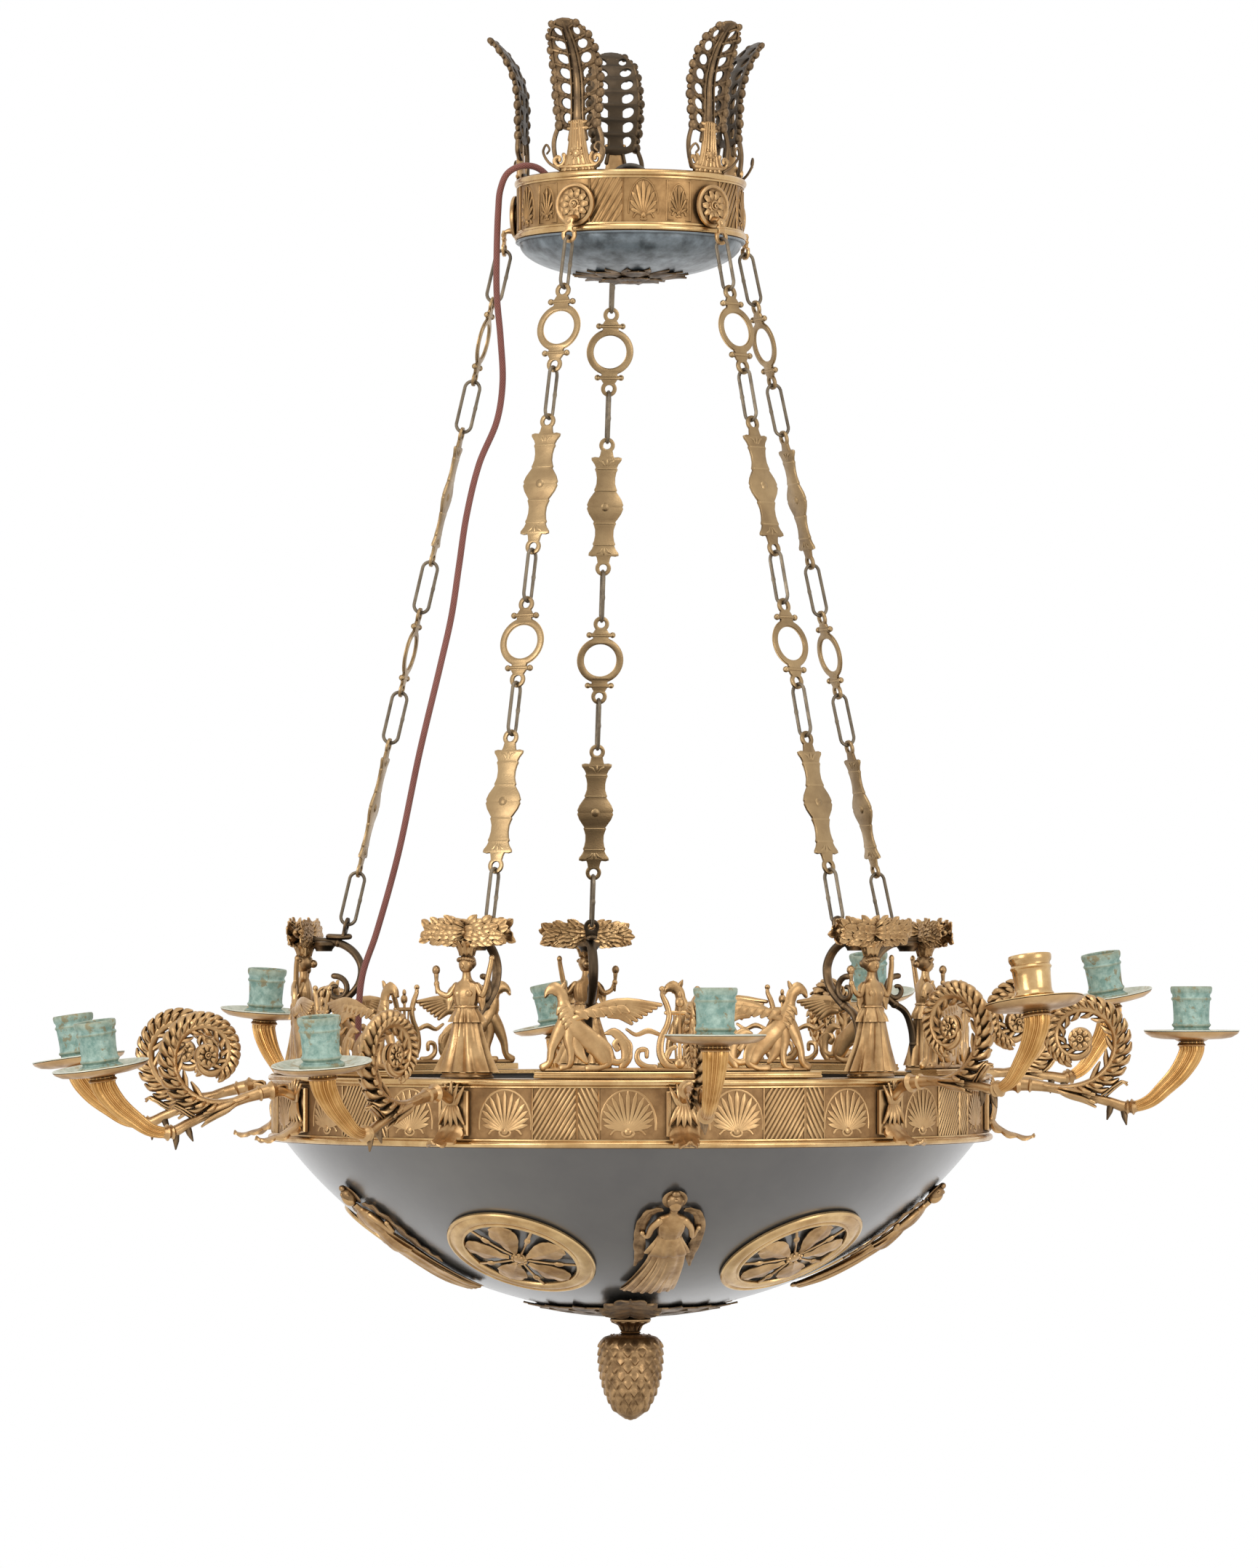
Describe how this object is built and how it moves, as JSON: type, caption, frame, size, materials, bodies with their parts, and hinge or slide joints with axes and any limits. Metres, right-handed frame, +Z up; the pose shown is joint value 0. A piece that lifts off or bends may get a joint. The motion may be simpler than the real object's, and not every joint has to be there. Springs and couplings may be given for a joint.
{
  "type": "chandelier",
  "caption": "Hanging chandelier of gilt and dark bronze: a coronet of palm fronds, link chains, and a shallow bowl whose gilt band carries figures, galleries and candle arms.",
  "frame": {"origin": "inner top of the suspension ring, where a ceiling hook bears", "axes": "+Z up along the chandelier's axis; -Y is the side with arm 1, and azimuths grow towards +X"},
  "size_m": [0.9243, 0.9572, 1.0967],
  "materials": {
    "gilt_bronze": "worn matt and burnished gilding with brown in the recesses",
    "dark_bronze": "brown patina, bright on the raised edges",
    "iron": "dull and worn",
    "bowl_grey": "satin dark grey patina",
    "dish_blue_grey": "satin blue-grey patina",
    "verdigris_brass": "dry green verdigris over worn gilding, pans pale cream green",
    "flex_cord": "matt red-brown covering"
  },
  "bodies": {
    "hanger": {"suspension_ring": "iron"},
    "coronet": {"coronet_spider": "iron", "coronet_band": "gilt_bronze", "coronet_dish": "dish_blue_grey", "flex_cord": "flex_cord", "frond_1": "dark_bronze", "frond_2": "dark_bronze", "frond_3": "dark_bronze", "frond_4": "dark_bronze", "frond_5": "dark_bronze", "roundel_hook_1": "gilt_bronze", "roundel_hook_2": "gilt_bronze", "roundel_hook_3": "gilt_bronze", "roundel_hook_4": "gilt_bronze", "roundel_hook_5": "gilt_bronze"},
    "chain_1": {"chain_1": "gilt_bronze"},
    "chain_2": {"chain_2": "gilt_bronze"},
    "chain_3": {"chain_3": "gilt_bronze"},
    "chain_4": {"chain_4": "gilt_bronze"},
    "chain_5": {"chain_5": "gilt_bronze"},
    "basin": {"bowl": "bowl_grey", "bowl_band": "gilt_bronze", "bowl_leaf_plate": "dark_bronze", "finial": "dark_bronze", "tie_rod": "iron", "figure_1": "gilt_bronze", "figure_2": "gilt_bronze", "figure_3": "gilt_bronze", "figure_4": "gilt_bronze", "figure_5": "gilt_bronze", "gallery_1": "gilt_bronze", "gallery_2": "gilt_bronze", "gallery_3": "gilt_bronze", "gallery_4": "gilt_bronze", "gallery_5": "gilt_bronze", "medallion_1": "gilt_bronze", "medallion_2": "gilt_bronze", "medallion_3": "gilt_bronze", "medallion_4": "gilt_bronze", "medallion_5": "gilt_bronze", "arm_1": "gilt_bronze", "arm_2": "gilt_bronze", "arm_3": "gilt_bronze", "arm_4": "gilt_bronze", "arm_5": "gilt_bronze", "arm_6": "gilt_bronze", "arm_7": "gilt_bronze", "arm_8": "gilt_bronze", "arm_9": "gilt_bronze", "arm_10": "gilt_bronze", "candle_socket_1": "verdigris_brass", "candle_socket_2": "gilt_bronze", "candle_socket_3": "verdigris_brass", "candle_socket_4": "verdigris_brass", "candle_socket_5": "verdigris_brass", "candle_socket_6": "verdigris_brass", "candle_socket_7": "verdigris_brass", "candle_socket_8": "verdigris_brass", "candle_socket_9": "verdigris_brass", "candle_socket_10": "verdigris_brass"}
  },
  "joints": [
    {"name": "ring_swing", "type": "hinge", "parent": "hanger", "child": "coronet", "pos_m": [0, 0, -0.0297], "axis": [1, 0, 0], "range_deg": [-15, 15]},
    {"name": "bowl_twist", "type": "hinge", "parent": "coronet", "child": "basin", "pos_m": [0, 0, -0.065], "axis": [0, 0, 1], "range_deg": [-5, 5], "stiffness_Nm_per_rad": 9.5},
    {"name": "chain_tilt_1", "type": "hinge", "parent": "coronet", "child": "chain_1", "pos_m": [0.05995, -0.08252, -0.065], "axis": [0.5878, -0.809, 0], "range_deg": [-2.4, 2.4]},
    {"name": "chain_tilt_2", "type": "hinge", "parent": "coronet", "child": "chain_2", "pos_m": [0.09701, 0.03152, -0.065], "axis": [0.9511, 0.309, 0], "range_deg": [-2.4, 2.4]},
    {"name": "chain_tilt_3", "type": "hinge", "parent": "coronet", "child": "chain_3", "pos_m": [0, 0.102, -0.065], "axis": [0, 1, 0], "range_deg": [-2.4, 2.4]},
    {"name": "chain_tilt_4", "type": "hinge", "parent": "coronet", "child": "chain_4", "pos_m": [-0.09701, 0.03152, -0.065], "axis": [-0.9511, 0.309, 0], "range_deg": [-2.4, 2.4]},
    {"name": "chain_tilt_5", "type": "hinge", "parent": "coronet", "child": "chain_5", "pos_m": [-0.05995, -0.08252, -0.065], "axis": [-0.5878, -0.809, 0], "range_deg": [-2.4, 2.4]}
  ],
  "couplings": [
    {"joint": "chain_tilt_1", "follows": "bowl_twist", "ratio": 0.431},
    {"joint": "chain_tilt_2", "follows": "bowl_twist", "ratio": 0.431},
    {"joint": "chain_tilt_3", "follows": "bowl_twist", "ratio": 0.431},
    {"joint": "chain_tilt_4", "follows": "bowl_twist", "ratio": 0.431},
    {"joint": "chain_tilt_5", "follows": "bowl_twist", "ratio": 0.431}
  ]
}
